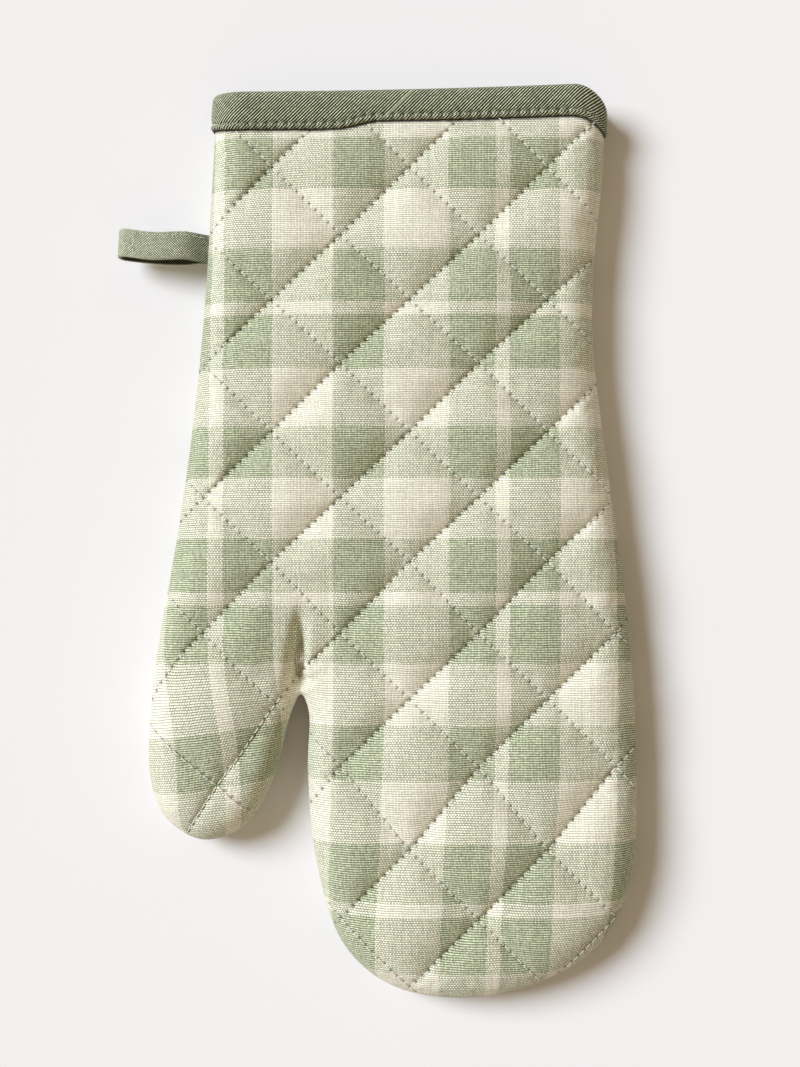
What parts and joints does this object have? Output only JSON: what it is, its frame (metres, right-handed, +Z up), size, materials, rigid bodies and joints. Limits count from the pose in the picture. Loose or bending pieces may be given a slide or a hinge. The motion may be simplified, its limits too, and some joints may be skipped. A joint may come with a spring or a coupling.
{
  "type": "grill mitt",
  "caption": "Quilted cloth grill mitt with a separate thumb, a bound open cuff and a hanging loop at the side, lying flat.",
  "frame": {"origin": "middle of the bottom of the mitt's bounding box, on the surface it lies on", "axes": "+X towards the little finger's side, +Y from the fingertips to the cuff, +Z up out of the surface"},
  "size_m": [0.188, 0.327, 0.0271],
  "materials": {
    "checked_cloth": "plain-woven sage and cream check, quilted, matt",
    "binding_cloth": "dark green twill, matt"
  },
  "bodies": {
    "root": {"front_panel": "checked_cloth", "back_panel": "checked_cloth", "cuff_binding": "binding_cloth", "hanging_loop": "binding_cloth"}
  },
  "joints": []
}
